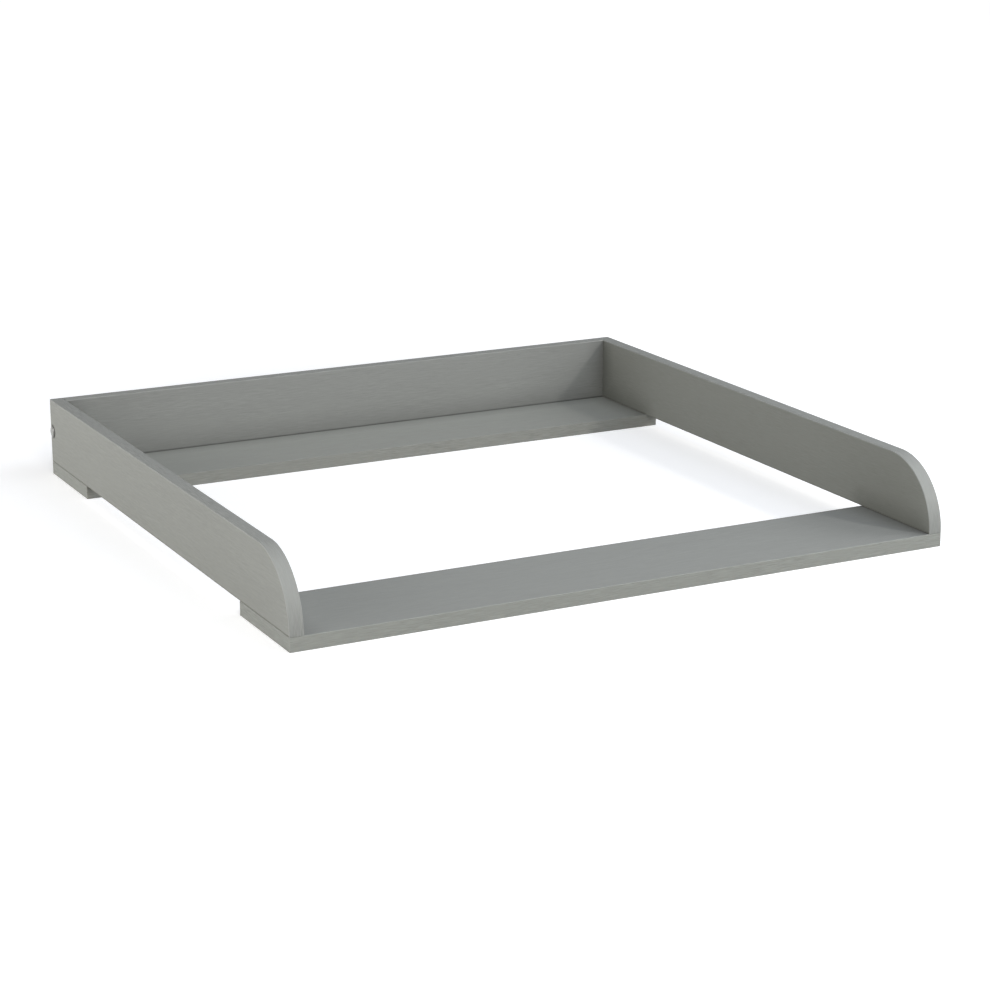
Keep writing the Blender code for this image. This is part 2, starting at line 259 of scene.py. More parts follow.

# Boards: the axis along the grain and the one through the board, the boards that it touches and those
# beside which it gets a wide fringe of painted shade, how strong its grain is, and a colour change that
# paints light and shade on its print
AS_PRINTED = (1.0, 1.0, 1.0)
BOARDS = {
    "left_side_panel": {
        "along": Y, "through": X, "strength": 0.95, "painted_light_tint": AS_PRINTED,
        "touches": ["back_panel"] + BOTTOM_BOARDS, "shade_fringe_from": ["back_panel"],
    },
    "right_side_panel": {
        "along": Y, "through": X, "strength": 0.8, "painted_light_tint": (0.92, 0.92, 0.90),
        "touches": ["back_panel"] + BOTTOM_BOARDS, "shade_fringe_from": ["back_panel"],
    },
    "back_panel": {
        "along": X, "through": Y, "strength": 1.25, "painted_light_tint": (1.035, 1.03, 1.05),
        "touches": ["rear_board"] + SIDE_PANELS, "shade_fringe_from": SIDE_PANELS,
    },
    "front_board": {
        "along": X, "through": Z, "strength": 0.8, "painted_light_tint": (1.02, 1.02, 1.04),
        "touches": SIDE_PANELS, "shade_fringe_from": ["right_side_panel"],
    },
    "rear_board": {
        "along": X, "through": Z, "strength": 0.9, "painted_light_tint": (1.09, 1.085, 1.075),
        "touches": ["back_panel"] + SIDE_PANELS, "shade_fringe_from": [],
    },
}

# Edge band finishes: how strong the grain is, and a colour change that paints light and shade on the
# print
BAND_FINISHES = {
    "grey_edge_band": (2.2, (1.045, 1.04, 1.025)),
    "grey_bent_edge_band": (2.8, (0.95, 0.942, 0.955)),
    "grey_top_edge_band": (2.8, (1.005, 0.99, 1.0)),
    "painted_light_rear_edge_band": (2.9, (1.12, 1.12, 1.105)),
    "grey_end_edge_band": (2.2, AS_PRINTED),
    "painted_shade_seam_edge_band": (2.2, (0.83, 0.83, 0.81)),
}

# Studio: the floor's own white grows from a share near the frame to full white further out
WHITE = (1, 1, 1, 1)
FLOOR_SIZE = 30.0
FLOOR_GREY = (0.80, 0.80, 0.80, 1)
FLOOR_GLOW = 0.45
GLOW_START = 0.75
GLOW_END = 1.5

# Lamps: place, point that they are aimed at, size, power and colour
LAMPS = {
    "key": ((1.6, -1.93, 1.43), (0, 0, 0.05), 0.2, 15, (1, 0.98, 0.95)),
    "right": ((3.3, -0.9, 2.1), (0, 0, 0), 2.4, 52, (0.95, 0.97, 1)),
    "low_right": ((2.2, -0.3, 1.1), (0, 0, 0.05), 1.4, 7, (0.97, 0.98, 1)),
    "front": ((-1.1, -3.1, 2.3), (0, 0, 0), 1.8, 55, (1, 0.99, 0.96)),
    "top": ((0.95, -1.2, 2.0), (0, 0, 0), 1.6, 18, (0.80, 0.87, 1)),
    "overhead": ((0, 0, 4), (0, 0, 0), 1.9, 18, (0.80, 0.87, 1)),
    "left": ((-1.4, 0.7, 0.32), (-0.35, 0.5, 0.05), 0.55, 5.2, (1, 0.985, 0.98)),
    "side": ((-2.0, 0.2, 0.5), (-0.35, 0.15, 0.05), 1.4, 12.9, (1, 0.985, 0.98)),
    "toe": ((-0.9, -0.5, 0.32), (-0.35, -0.35, 0.05), 0.5, 0.9, (1, 0.985, 0.98)),
}

# Camera: lens and film in millimetres, its place, and its tilt down and turn to the right in degrees
LENS = 92.0
FILM_WIDTH = 36.0
CAMERA_REACH = 100.0
CAMERA_PLACE = (-1.311, -2.5975, 0.840)
CAMERA_TILT = 15.81
CAMERA_TURN = 27.26


# Hand tools

def put_away():
    """Leave edit mode and deselect everything."""
    if bpy.context.object and bpy.context.object.mode == "EDIT":
        bpy.ops.object.mode_set(mode="OBJECT")
    bpy.ops.object.select_all(action="DESELECT")


def open_up(piece, select_mode="FACE"):
    """Go into a piece's edit mode with nothing selected."""
    put_away()
    bpy.context.view_layer.objects.active = piece
    piece.select_set(True)
    bpy.ops.object.mode_set(mode="EDIT")
    bpy.ops.mesh.select_mode(type=select_mode)
    bpy.ops.mesh.select_all(action="DESELECT")


def pick(piece, kind, test):
    """Select the vertices, edges or faces of a piece that pass a test."""
    shape = bmesh.from_edit_mesh(piece.data)
    shape.normal_update()
    for element in getattr(shape, kind):
        element.select_set(bool(test(element)))
    shape.select_flush_mode()
    bmesh.update_edit_mesh(piece.data)


def middle(element):
    """Middle of an edge or a face."""
    return sum((vert.co for vert in element.verts), Vector()) / len(element.verts)


def round_off(radius, steps, affect="EDGES"):
    """Round the selected edges or corners."""
    bpy.ops.mesh.bevel(offset=radius, segments=steps, profile=0.5, affect=affect)


def fix_place(piece, name):
    """Put a piece's place, turn and size into its mesh."""
    put_away()
    piece.name = piece.data.name = name
    piece.select_set(True)
    bpy.context.view_layer.objects.active = piece
    bpy.ops.object.transform_apply(location=True, rotation=True, scale=True)
    return piece


def add_block(name, low, high):
    """Block between two corners."""
    put_away()
    bpy.ops.mesh.primitive_cube_add(size=1.0, location=(low + high) / 2)
    block = bpy.context.object
    block.scale = high - low
    return fix_place(block, name)


def apply(piece, kind, **settings):
    """Add a modifier and apply it."""
    put_away()
    bpy.context.view_layer.objects.active = piece
    piece.select_set(True)
    modifier = piece.modifiers.new(kind.lower(), kind)
    for key, value in settings.items():
        setattr(modifier, key, value)
    bpy.ops.object.modifier_apply(modifier=modifier.name)


def close_up(piece, angle=SMOOTH_ANGLE):
    """Merge doubles, turn all faces outwards and shade the round parts smooth."""
    open_up(piece)
    bpy.ops.mesh.select_all(action="SELECT")
    bpy.ops.mesh.remove_doubles(threshold=WELD_DISTANCE)
    bpy.ops.mesh.normals_make_consistent(inside=False)
    put_away()
    piece.select_set(True)
    bpy.ops.object.shade_smooth_by_angle(angle=angle)
    put_away()


def note_place(piece, name, place):
    """Keep a place for each point, which a finish's pattern then follows."""
    layer = piece.data.attributes.new(name, "FLOAT_VECTOR", "POINT")
    for vert in piece.data.vertices:
        layer.data[vert.index].vector = place(vert.co)


def set_in(piece, finish, node):
    """Give a piece its finish and slot, and let it stand for its node."""
    piece.data.materials.clear()
    piece.data.materials.append(finish)
    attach(piece, "root")
    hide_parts(node)


def place_copy(model, node, finish, turn, place):
    """Copy a modelled piece, with a mesh of its own, to where a node is."""
    copy = model.copy()
    copy.data = model.data.copy()
    bpy.context.scene.collection.objects.link(copy)
    copy.rotation_euler = turn
    copy.location = place
    fix_place(copy, f"fine_{node}")
    set_in(copy, finish, node)


# Edge bands

def straight_band(node, along, outward, finish, butt=False):
    """Edge band of a straight edge, let in down to the glue line, its outer edges scraped round.

    A butt band keeps the edges at its two ends sharp, where it meets the next band.
    """
    low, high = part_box(node)
    depth_axis = max(range(3), key=lambda axis: abs(outward[axis]))
    if outward[depth_axis] > 0:
        outer = high[depth_axis]
        low[depth_axis] = outer - BAND_THICKNESS
    else:
        outer = low[depth_axis]
        high[depth_axis] = outer + BAND_THICKNESS
    band = add_block(f"fine_{node}", low, high)

    def on_outer_edge(edge):
        if any(abs(vert.co[depth_axis] - outer) > SAME_PLACE for vert in edge.verts):
            return False
        course = (edge.verts[1].co - edge.verts[0].co).normalized()
        return abs(course.dot(along)) > ALMOST_PARALLEL or not butt

    open_up(band, "EDGE")
    pick(band, "edges", on_outer_edge)
    round_off(SCRAPED_RADIUS, SCRAPE_STEPS)
    close_up(band)
    apply(band, "WEIGHTED_NORMAL", keep_sharp=True)
    across = along.cross(outward)
    centre = (low + high) / 2

    def strip(point):
        return (point.dot(along), (point - centre).dot(across), point.dot(outward) - abs(outer))

    note_place(band, "strip", strip)
    set_in(band, finish, node)


def panel_top_band(side, finish):
    """One band from the toe up round the quarter circle and back along the top of a side panel."""
    node = f"{side}_panel_top_band"
    low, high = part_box(node)
    radius = high.z - low.z
    hub = Vector((0, low.y + radius, low.z))
    centre_x = (low.x + high.x) / 2
    put_away()
    bpy.ops.mesh.primitive_plane_add(
        size=1.0, location=(centre_x, low.y + BAND_THICKNESS / 2, low.z),
    )
    band = bpy.context.object
    band.scale = (high.x - low.x, BAND_THICKNESS, 1)
    fix_place(band, f"fine_{node}")

    open_up(band, "VERT")
    pick(band, "verts", lambda vert: vert.co.y < low.y + SAME_PLACE)
    round_off(SCRAPED_RADIUS, SCRAPE_STEPS, "VERTICES")
    bpy.ops.mesh.select_all(action="SELECT")
    bpy.ops.mesh.spin(steps=CURVE_STEPS, angle=QUARTER_TURN, center=hub, axis=(1, 0, 0))
    top_length = high.y - hub.y
    bpy.ops.mesh.extrude_region_move(TRANSFORM_OT_translate={"value": (0, top_length, 0)})
    bpy.ops.mesh.select_mode(type="EDGE")

    def on_rear_rim(edge):
        at_end = all(abs(vert.co.y - high.y) < SAME_PLACE for vert in edge.verts)
        return at_end and middle(edge).z > high.z - REAR_RIM_REACH

    pick(band, "edges", on_rear_rim)
    round_off(REAR_RIM_RADIUS, REAR_RIM_STEPS)
    close_up(band)
    apply(band, "WEIGHTED_NORMAL", keep_sharp=True)

    def strip(point):
        across = point.x - centre_x
        if point.y > hub.y:
            return (point.y - hub.y, across, point.z - high.z)
        arm = Vector((point.y - hub.y, point.z - hub.z))
        return (-radius * math.atan2(-arm.x, arm.y), across, arm.length - radius)

    note_place(band, "strip", strip)
    set_in(band, finish, node)


# Fasteners

def round_blank(name, sides, radius, height):
    """Round disc about the upright axis at a height, ready to be drawn out into a turned shape."""
    put_away()
    bpy.ops.mesh.primitive_circle_add(
        vertices=sides, radius=radius, fill_type="NGON", location=(0, 0, height),
    )
    return fix_place(bpy.context.object, name)


def draw_out(steps):
    """Draw the selected disc out, by one rise and one scale for each step."""
    for rise, scale in steps:
        bpy.ops.mesh.extrude_region_move(TRANSFORM_OT_translate={"value": (0, 0, rise)})
        bpy.ops.transform.resize(value=(scale, scale, 1))


def turned(name, sides, profile):
    """Turned solid from discs of the given radius and height, from one end to the other."""
    radius, height = profile[0]
    piece = round_blank(name, sides, radius, height)
    open_up(piece)
    bpy.ops.mesh.select_all(action="SELECT")
    for (old_radius, old_height), (radius, height) in zip(profile, profile[1:]):
        draw_out([(height - old_height, radius / old_radius)])
    close_up(piece)
    return piece


def screw_model():
    """Countersunk one-piece connecting screw, head up, its head's top at zero."""
    screw = turned("screw", SCREW_SIDES, [
        (HEAD_RADIUS - HEAD_CHAMFER, 0),
        (HEAD_RADIUS, -HEAD_CHAMFER),
        (HEAD_RADIUS, -HEAD_RIM),
        (NECK_RADIUS, -HEAD_RIM - HEAD_RADIUS + NECK_RADIUS),
        (NECK_RADIUS, NECK_END + NECK_TAPER),
        (CORE_RADIUS, NECK_END),
        (CORE_RADIUS, TIP_START),
        (TIP_RADIUS, TIP_CHAMFER - SCREW_LENGTH),
        (TIP_RADIUS * TIP_END_SHARE, -SCREW_LENGTH),
    ])
    ridge = thread_ridge()
    cutter = socket_cutter()
    for other, operation in ((ridge, "UNION"), (cutter, "DIFFERENCE")):
        apply(screw, "BOOLEAN", operation=operation, solver="EXACT", object=other)
        bpy.data.objects.remove(other, do_unlink=True)
    close_up(screw, SMALL_PIECE_SMOOTH_ANGLE)
    note_place(screw, "own_place", lambda point: point)
    return screw


def thread_ridge():
    """Helical ridge of the screw's thread, which starts and ends in the core."""
    put_away()
    root = CORE_RADIUS - THREAD_LET_IN
    middle_radius = (root + THREAD_RADIUS) / 2
    bpy.ops.mesh.primitive_plane_add(
        size=1.0, location=(middle_radius, 0, THREAD_START), rotation=(QUARTER_TURN, 0, 0),
    )
    ridge = bpy.context.object
    ridge.scale = (THREAD_RADIUS - root, THREAD_FOOT, 1)
    fix_place(ridge, "thread")
    open_up(ridge, "VERT")
    pick(ridge, "verts", lambda vert: vert.co.x > middle_radius)
    bpy.ops.transform.resize(value=(1, 1, THREAD_CREST_SHARE))
    put_away()
    apply(
        ridge, "SCREW", axis="Z", screw_offset=THREAD_PITCH, iterations=THREAD_TURNS,
        steps=THREAD_SIDES, render_steps=THREAD_SIDES,
    )
    open_up(ridge, "EDGE")
    pick(ridge, "edges", lambda edge: edge.is_boundary)
    bpy.ops.mesh.edge_face_add()
    low_end = THREAD_START + THREAD_END_REACH
    high_end = THREAD_START + THREAD_PITCH * THREAD_TURNS - THREAD_END_REACH

    def end_face(is_end):
        return lambda face: (
            len(face.verts) == 4 and abs(middle(face).y) < SAME_PLACE and is_end(middle(face).z)
        )

    for is_end in (lambda z: z < low_end, lambda z: z > high_end):
        open_up(ridge, "FACE")
        pick(ridge, "faces", end_face(is_end))
        bpy.ops.transform.translate(value=(root - middle_radius, 0, 0))
    close_up(ridge)
    return ridge


def socket_cutter():
    """Hexagon that is cut into the screw's head, with a drilled point under it."""
    corner = SOCKET_ACROSS_FLATS / 2 / math.cos(math.pi / SOCKET_SIDES)
    return turned("socket", SOCKET_SIDES, [
        (corner + SOCKET_FLARE, SOCKET_OVERRUN),
        (corner, -SOCKET_FLARE_DEPTH),
        (corner, -SOCKET_DEPTH),
        (corner * DRILL_POINT_SHARE, -SOCKET_DEPTH - DRILL_POINT),
    ])


def dowel_model():
    """Fluted dowel with chamfered ends, upright about its middle."""
    sides = DOWEL_FLUTES * POINTS_PER_FLUTE
    step = 2 * math.pi / sides
    dowel = round_blank("dowel", sides, DOWEL_RADIUS, DOWEL_CHAMFER - DOWEL_LENGTH / 2)
    open_up(dowel, "VERT")

    def in_flute(vert):
        return round(math.atan2(vert.co.y, vert.co.x) / step) % POINTS_PER_FLUTE == 0

    pick(dowel, "verts", in_flute)
    scale = 1 - FLUTE_DEPTH / DOWEL_RADIUS
    bpy.ops.transform.resize(value=(scale, scale, 1))
    bpy.ops.mesh.select_mode(type="FACE")
    bpy.ops.mesh.select_all(action="SELECT")
    draw_out([(DOWEL_LENGTH - 2 * DOWEL_CHAMFER, 1.0)])
    draw_out([(DOWEL_CHAMFER * share, scale) for share, scale in DOWEL_CHAMFER_SHARES])
    pick(dowel, "faces", lambda face: len(face.verts) > 4 and middle(face).z < 0)
    draw_out([(-DOWEL_CHAMFER * share, scale) for share, scale in DOWEL_CHAMFER_SHARES])
    close_up(dowel, SMALL_PIECE_SMOOTH_ANGLE)
    note_place(dowel, "own_place", lambda point: point)
    return dowel


def cap_model():
    """Domed cap above a face at height zero, with a peg that goes into the screw's socket."""
    rise = CAP_HEIGHT - CAP_RIM
    dome_radius = (CAP_RADIUS**2 + rise**2) / (2 * rise)
    half_angle = math.asin(CAP_RADIUS / dome_radius)
    profile = [
        (PEG_RADIUS * PEG_END_SHARE, PEG_END),
        (PEG_RADIUS, PEG_END + PEG_CHAMFER),
        (PEG_RADIUS, CAP_HOLLOW),
        (CAP_RADIUS - CAP_WALL - CAP_DRAFT, CAP_HOLLOW),
        (CAP_RADIUS - CAP_WALL, CAP_FOOT),
        (CAP_RADIUS - RIM_ROUND_WIDTH, CAP_FOOT),
        (CAP_RADIUS - RIM_ROUND_BULGE, CAP_FOOT + RIM_ROUND_HEIGHT / 2),
        (CAP_RADIUS, CAP_FOOT + RIM_ROUND_HEIGHT),
        (CAP_RADIUS - DOME_EASE, CAP_RIM),
    ]
    for ring in range(1, CAP_RINGS):
        angle = half_angle * (1 - ring / CAP_RINGS)
        sag = dome_radius * (1 - math.cos(angle))
        profile.append((dome_radius * math.sin(angle), CAP_HEIGHT - sag))
    crown_angle = half_angle / CAP_RINGS * CROWN_SHARE
    profile.append((dome_radius * math.sin(crown_angle), CAP_HEIGHT))
    cap = turned("cap", CAP_SIDES, profile)
    note_place(cap, "own_place", lambda point: point)
    return cap


# Node tools

def add(tree, kind, inputs=None, **settings):
    """Add a node with its settings, and link or set its inputs by name or number."""
    node = tree.nodes.new(f"ShaderNode{kind}")
    for key, value in settings.items():
        setattr(node, key, value)
    for key, value in (inputs or {}).items():
        join(tree, value, node.inputs[key])
    return node


def join(tree, value, socket):
    """Link a socket to an output, or set its value."""
    if isinstance(value, bpy.types.NodeSocket):
        tree.links.new(value, socket)
    else:
        socket.default_value = value


def grain(tree, place, scale, detail=2.0, roughness=0.5, distortion=0.0):
    """Noise stretched by a scale for each direction, between 0 and 1."""
    stretched = add(tree, "Mapping", {"Vector": place, "Scale": scale})
    noise = add(tree, "TexNoise", {
        "Vector": stretched.outputs[0], "Scale": 1.0, "Detail": detail,
        "Roughness": roughness, "Distortion": distortion,
    })
    return noise.outputs["Factor" if "Factor" in noise.outputs else "Fac"]


def spread(tree, value, low, high, to_low=0.0, to_high=1.0):
    """Stretch a value from one range to another, and hold it there."""
    return add(tree, "MapRange", {
        "Value": value, "From Min": low, "From Max": high, "To Min": to_low, "To Max": to_high,
    }).outputs[0]


def vary(tree, noise, low=0.0, high=1.0):
    """Let a value follow the usual range of a noise."""
    return spread(tree, noise, *USUAL_NOISE, low, high)


def calc(tree, operation, first, second=0.0):
    """Arithmetic on numbers."""
    return add(tree, "Math", {0: first, 1: second}, operation=operation).outputs[0]


def calc_place(tree, operation, first, second=(0, 0, 0)):
    """Arithmetic on places, axis by axis."""
    return add(tree, "VectorMath", {0: first, 1: second}, operation=operation).outputs[0]


def length(tree, vector):
    """Length of a vector."""
    return add(tree, "VectorMath", {0: vector}, operation="LENGTH").outputs["Value"]


def blend(tree, factor, first, second):
    """Mix two colours."""
    return add(tree, "Mix", {0: factor, 6: first, 7: second}, data_type="RGBA").outputs[2]


def tone_colour(tree, grey, painted_light_tint, tone):
    """Tinted grey, darkened or lightened by a tone about 1."""
    tinted = [share * change for share, change in zip(grey, painted_light_tint)]
    return add(tree, "VectorMath", {0: tinted, 3: tone}, operation="SCALE").outputs[0]


def new_finish(name, roughness, metallic=0.0, shine=0.5):
    """New material, with its node tree and its shader."""
    material = bpy.data.materials.new(name)
    material.use_nodes = True
    shader = material.node_tree.nodes["Principled BSDF"]
    shader.inputs["Roughness"].default_value = roughness
    shader.inputs["Metallic"].default_value = metallic
    shader.inputs["Specular IOR Level"].default_value = shine
    return material, material.node_tree, shader


def lay_on(tree, shader, colour, roughness, height, relief):
    """Give a shader its colour, its roughness and its relief."""
    bump = add(tree, "Bump", {"Height": height, "Strength": 1.0, "Distance": relief})
    join(tree, colour, shader.inputs["Base Color"])
    join(tree, roughness, shader.inputs["Roughness"])
    join(tree, bump.outputs[0], shader.inputs["Normal"])


# Finishes

def wood_tone(tree, place, along, strength, fibre_size=FIBRES, streak_contrast=STREAK_CONTRAST):
    """Tone of the printed wood, about 1, and the fibres and pores that it is made of.

    It has soft streaks, fine fibres that come and go in patches, and short dark pores.
    """
    def scales(size_along, size_across):
        scale = [1 / size_across] * 3
        scale[along] = 1 / size_along
        return tuple(scale)

    streaks = grain(tree, place, scales(*SOFT_STREAKS), distortion=STREAK_DISTORTION)
    patches = spread(tree, grain(tree, place, scales(*PATCHES)), *PATCH_NOISE, *PATCH_GRAIN)
    fibres = grain(tree, place, scales(*fibre_size), detail=3.0, roughness=0.6)
    pores = spread(tree, grain(tree, place, scales(*PORES), detail=1.0), *PORE_NOISE)
    fibre_tone = calc(tree, "MULTIPLY", calc(tree, "SUBTRACT", fibres, 0.5), FIBRE_CONTRAST)
    pore_tone = calc(tree, "MULTIPLY", pores, -PORE_CONTRAST)
    fine_tone = calc(tree, "MULTIPLY", calc(tree, "ADD", fibre_tone, pore_tone), patches)
    streak_tone = calc(tree, "MULTIPLY", calc(tree, "SUBTRACT", streaks, 0.5), streak_contrast)
    tone = calc(tree, "MULTIPLY", calc(tree, "ADD", fine_tone, streak_tone), strength)
    return calc(tree, "ADD", tone, 1.0), fibres, pores


def wood_height(tree, fibres, pores):
    """Height of the pressed grain: raised fibres and sunk pores."""
    return calc(tree, "SUBTRACT", fibres, calc(tree, "MULTIPLY", pores, PORE_DEPTH))


def chipboard_colour(tree, place):
    """Raw chipboard: pressed flakes of pale and darker wood."""
    flakes = add(tree, "TexVoronoi", {"Vector": place, "Scale": FLAKE_SCALE, "Randomness": 1.0})
    flake = add(tree, "SeparateColor", {0: flakes.outputs["Color"]}).outputs[0]
    dust_and_shade = grain(tree, place, CHIP_DUST_SCALE, detail=3.0)
    dusty = spread(tree, dust_and_shade, *CHIP_DUST_NOISE, 0.0, CHIP_DUST_SHARE)
    return blend(tree, dusty, blend(tree, flake, FLAKE_DARK, FLAKE_PALE), CHIP_DUST_BROWN)


def distance_to(tree, place, node):
    """Distance from a place to a neighbouring board."""
    low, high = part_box(node)
    offset = calc_place(tree, "SUBTRACT", place, (low + high) / 2)
    offset = calc_place(tree, "ABSOLUTE", offset)
    offset = calc_place(tree, "SUBTRACT", offset, (high - low) / 2)
    return length(tree, calc_place(tree, "MAXIMUM", offset))


def nearest_board(tree, place, boards, reach):
    """Distance from a place to the nearest of some boards, up to a reach."""
    nearest = reach
    for board in boards:
        nearest = calc(tree, "MINIMUM", nearest, distance_to(tree, place, board))
    return nearest


def on_inner_half(tree, place, node, through):
    """1 on the half of a board that is towards the frame's middle, or on top of a bottom board."""
    low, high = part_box(node)
    half_way = (low + high)[through] / 2
    depth = add(tree, "SeparateXYZ", {0: place}).outputs[through]
    return calc(tree, "LESS_THAN" if half_way > BOARD_THICKNESS else "GREATER_THAN", depth, half_way)


def corner_tone(tree, place, node, through, touches, shade_fringe_from):
    """Tone of the inner corners, all painted shade: a wide fringe, a darker band close in, and a dark
    line in the seam itself.

    The seam line is painted where one board lies on another, so at every seam of a bottom board.
    """
    # Painted shade: a darker band close in to each board that this one touches
    nearest = nearest_board(tree, place, touches, CORNER_SHADE_REACH)
    dust_and_shade = calc(tree, "POWER", spread(tree, nearest, 0.0, CORNER_SHADE_REACH, 1.0, 0.0), CORNER_SHADE_FALL_OFF)
    # Painted shade: a dark line in each seam where one board lies on another
    seams = [board for board in touches if node in BOTTOM_BOARDS or board in BOTTOM_BOARDS]
    to_seam = nearest_board(tree, place, seams, CORNER_SHADE_REACH)
    painted_shade = spread(tree, to_seam, SEAM_WIDTH * SEAM_CORE_SHARE, SEAM_WIDTH, SEAM_SHADE, 0.0)
    # Painted shade: a wide fringe beside the boards that are listed for it
    to_shade_fringe = nearest_board(tree, place, shade_fringe_from, SHADE_FRINGE_REACH)
    fringe = spread(tree, to_shade_fringe, 0.0, SHADE_FRINGE_REACH, SHADE_FRINGE, 0.0)
    dark = calc(tree, "ADD", calc(tree, "MULTIPLY", dust_and_shade, CORNER_SHADE), painted_shade)
    dark = calc(tree, "ADD", dark, fringe)
    dark = calc(tree, "MULTIPLY", dark, on_inner_half(tree, place, node, through))
    return calc(tree, "SUBTRACT", 1.0, dark)


def cap_ring_tone(tree, place, node):
    """Tone of the thin ring of painted shade on a side panel round its cap."""
    side = node.split("_")[0]
    low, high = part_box(f"{side}_corner_cap")
    distance = length(tree, calc_place(tree, "SUBTRACT", place, (low + high) / 2))
    start = CAP_RADIUS + RING_START
    return spread(tree, distance, start, CAP_RADIUS + RING_WIDTH, 1 - CAP_RING_SHADE, 1.0)


def printed_face(node, along, through, touches, shade_fringe_from, strength, painted_light_tint):
    """Grey printed foil with a fine wood grain, and raw chipboard where the board is cut."""
    material, tree, shader = new_finish(
        f"printed_{node}", PLAIN_FOIL_ROUGHNESS, shine=FOIL_SHINE,
    )
    place = add(tree, "TexCoord").outputs["Object"]
    tone, fibres, pores = wood_tone(tree, place, along, strength)
    # Painted shade in the inner corners and seams
    corners = corner_tone(tree, place, node, through, touches, shade_fringe_from)
    tone = calc(tree, "MULTIPLY", tone, corners)
    if node in SIDE_PANELS:
        # Painted shade in a thin ring round the cap
        tone = calc(tree, "MULTIPLY", tone, cap_ring_tone(tree, place, node))
    # Each board's colour change paints it lighter or darker, as light and shade
    foil = tone_colour(tree, FACE_GREY, painted_light_tint, tone)

    facing = add(tree, "SeparateXYZ", {0: add(tree, "NewGeometry").outputs["True Normal"]})
    straightness = calc(tree, "ABSOLUTE", facing.outputs[through])
    on_face = calc(tree, "GREATER_THAN", straightness, FACING_OUT)
    colour = blend(tree, on_face, chipboard_colour(tree, place), foil)

    satin = vary(tree, grain(tree, place, SATIN_SCALE), *FACE_ROUGHNESS)
    rough = calc(tree, "ADD", satin, calc(tree, "MULTIPLY", pores, PORE_ROUGHER))
    raw = calc(tree, "MULTIPLY", calc(tree, "SUBTRACT", 1.0, on_face), RAW_ROUGHER)
    rough = calc(tree, "ADD", rough, raw)
    lay_on(tree, shader, colour, rough, wood_height(tree, fibres, pores), FACE_RELIEF)
    return material


def strip_stretch(tree, run):
    """How far a bent strip is stretched at a place along it: not at all at its toe and its top."""
    from_toe = spread(tree, run, *STRETCH_AT_TOE, 0.0, 1.0)
    to_top = spread(tree, run, *STRETCH_AT_TOP, 1.0, 0.0)
    return calc(tree, "MULTIPLY", from_toe, to_top)


def edge_band_finish(name, bent=False, scrape_and_highlight_pale=SCRAPE_AND_HIGHLIGHT_PALE):
    """Grey edging with its grain along the strip, and paler where its edges are scraped round, which
    also paints a highlight line along them.

    Round a bend the strip is stretched, which leaves it smoother, with less grain, and it is painted
    paler there: a painted highlight.
    """
    strength, painted_light_tint = BAND_FINISHES[name]
    shine = BENT_SHINE if bent else BAND_SHINE
    material, tree, shader = new_finish(name, PLAIN_BAND_ROUGHNESS, shine=shine)
    strip = add(tree, "Attribute", attribute_name="strip").outputs["Vector"]
    run, across, depth = add(tree, "SeparateXYZ", {0: strip}).outputs
    tone, fibres, pores = wood_tone(tree, strip, X, strength, BAND_FIBRES, BAND_STREAK_CONTRAST)
    height = wood_height(tree, fibres, pores)
    rough = vary(tree, grain(tree, strip, SATIN_SCALE), *BAND_ROUGHNESS)
    rough = calc(tree, "ADD", rough, calc(tree, "MULTIPLY", pores, PORE_ROUGHER))
    if bent:
        stretch = strip_stretch(tree, run)
        left_over = spread(tree, stretch, 0.0, 1.0, 1.0, STRETCH_GRAIN)
        tone = calc(tree, "MULTIPLY", calc(tree, "SUBTRACT", tone, 1.0), left_over)
        tone = calc(tree, "ADD", tone, 1.0)
        # Painted highlight: the bend is made paler
        tone = calc(tree, "ADD", tone, calc(tree, "MULTIPLY", stretch, BEND_PAINTED_HIGHLIGHT))
        height = calc(tree, "MULTIPLY", height, left_over)
        rough = calc(tree, "SUBTRACT", rough, calc(tree, "MULTIPLY", stretch, STRETCH_SMOOTHER))

    nick = calc(tree, "SUBTRACT", grain(tree, strip, NICK_SCALE), 0.5)
    from_middle = calc(tree, "ABSOLUTE", across)
    from_middle = calc(tree, "ADD", from_middle, calc(tree, "MULTIPLY", nick, NICK_DEPTH))
    # Scraped edges are paler; this also paints a highlight line along the band's edges
    scraped = spread(tree, from_middle, *SCRAPE_AND_HIGHLIGHT_FROM_MIDDLE, 0.0, scrape_and_highlight_pale)
    glue = spread(tree, depth, *GLUE_DEPTH, 0.0, GLUE_SHARE)
    # Each band's colour change paints it lighter or darker, as light and shade
    colour = tone_colour(tree, BAND_GREY, painted_light_tint, tone)
    colour = blend(tree, scraped, colour, SCRAPE_AND_HIGHLIGHT_GREY)
    colour = blend(tree, glue, colour, GLUE_GREY)
    lay_on(tree, shader, colour, rough, height, BAND_RELIEF)
    return material


def zinc_finish():
    """Zinc plating: cool bright steel with fine turning lines and a cloudy bloom."""
    material, tree, shader = new_finish("zinc_plating", PLAIN_ZINC_ROUGHNESS, metallic=1.0)
    place = add(tree, "Attribute", attribute_name="own_place").outputs["Vector"]
    bloom = grain(tree, place, BLOOM_SCALE, detail=3.0)
    lines = grain(tree, place, TURNING_SCALE, detail=1.0)
    colour = blend(tree, vary(tree, bloom), ZINC_DARK, ZINC_PALE)
    height = add(tree, "SeparateXYZ", {0: place}).outputs[Z]
    worn = calc(tree, "MULTIPLY", spread(tree, height, *WORN_DEPTH, 1.0, 0.0), WORN_SHARE)
    colour = blend(tree, worn, colour, ZINC_WORN)
    lay_on(tree, shader, colour, vary(tree, bloom, *ZINC_ROUGHNESS), lines, ZINC_RELIEF)
    return material


